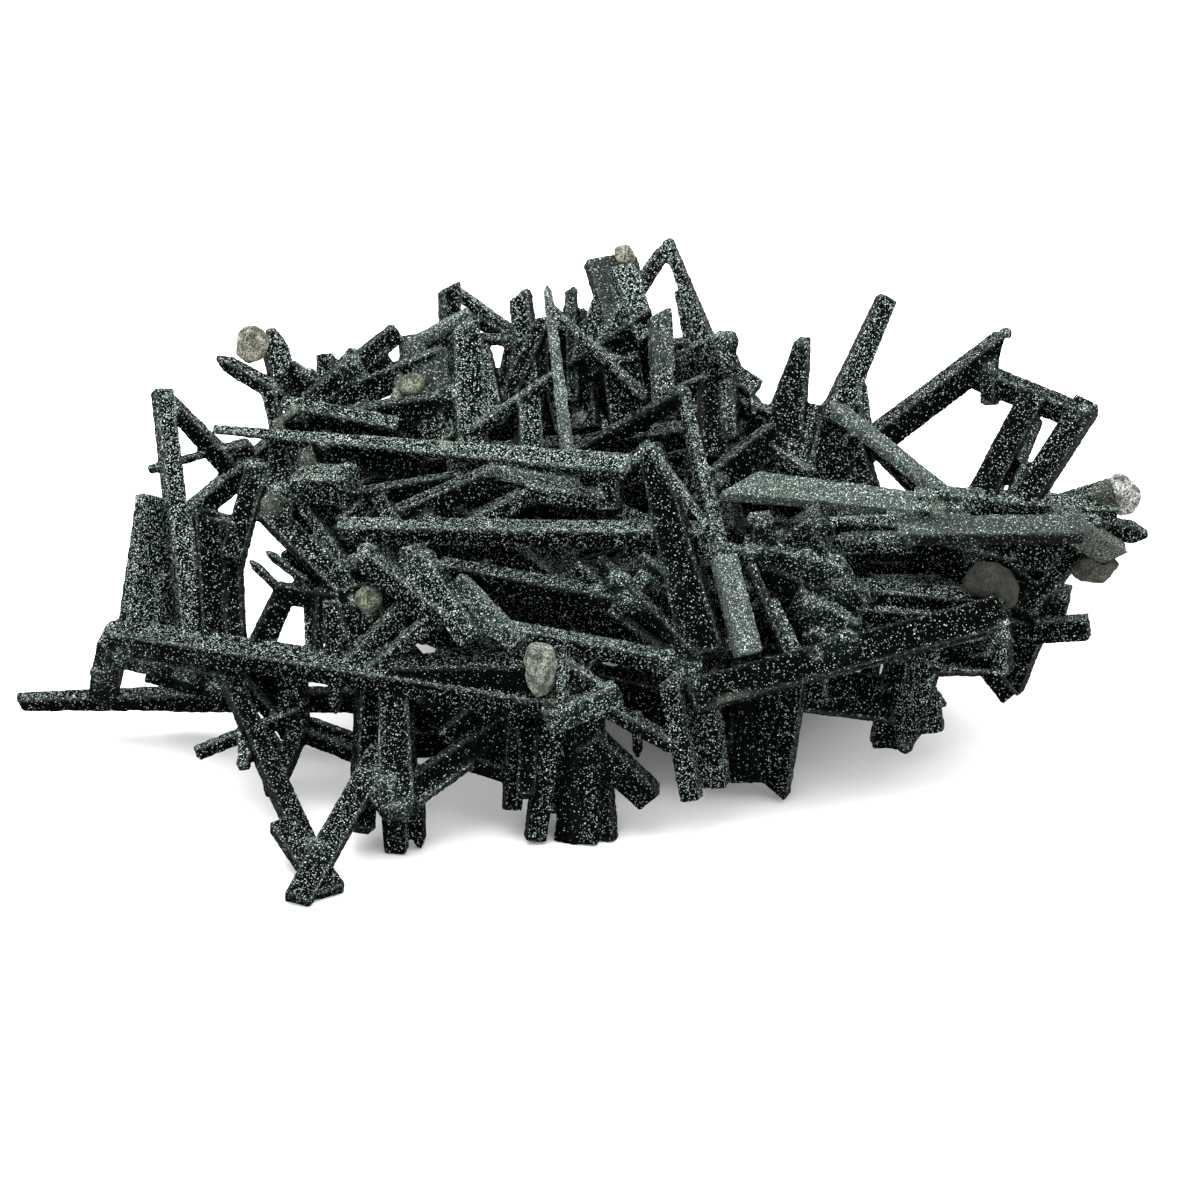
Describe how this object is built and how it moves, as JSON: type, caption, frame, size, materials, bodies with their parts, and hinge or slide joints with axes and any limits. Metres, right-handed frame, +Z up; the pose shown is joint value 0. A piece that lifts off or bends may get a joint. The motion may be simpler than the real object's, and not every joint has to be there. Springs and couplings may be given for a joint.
{
  "type": "chlorite quartz crystal cluster",
  "caption": "Jackstraw cluster of flat quartz laths coated with dark green chlorite, with pale nodules, resting on the tips of its crystals.",
  "frame": {"origin": "bottom centre of the cluster's bounding box, on the surface it rests on", "axes": "+X along the long side of the cluster, towards its open window frame; +Y towards its back; +Z up"},
  "size_m": [0.142, 0.0844, 0.0576],
  "materials": {
    "chlorite_druse": "sparkling druse over dark green quartz",
    "pale_nodule": "matt cream crust",
    "brown_nodule": "matt grey-brown crust"
  },
  "bodies": {
    "root": {"crystal_cluster": "chlorite_druse", "nodule_upper_left": "pale_nodule", "nodule_shoulder_green": "pale_nodule", "nodule_summit": "pale_nodule", "nodule_left_inner": "pale_nodule", "nodule_front": "pale_nodule", "nodule_right_disc": "brown_nodule", "nodule_right_low": "brown_nodule", "nodule_right_tip": "pale_nodule"}
  },
  "joints": []
}
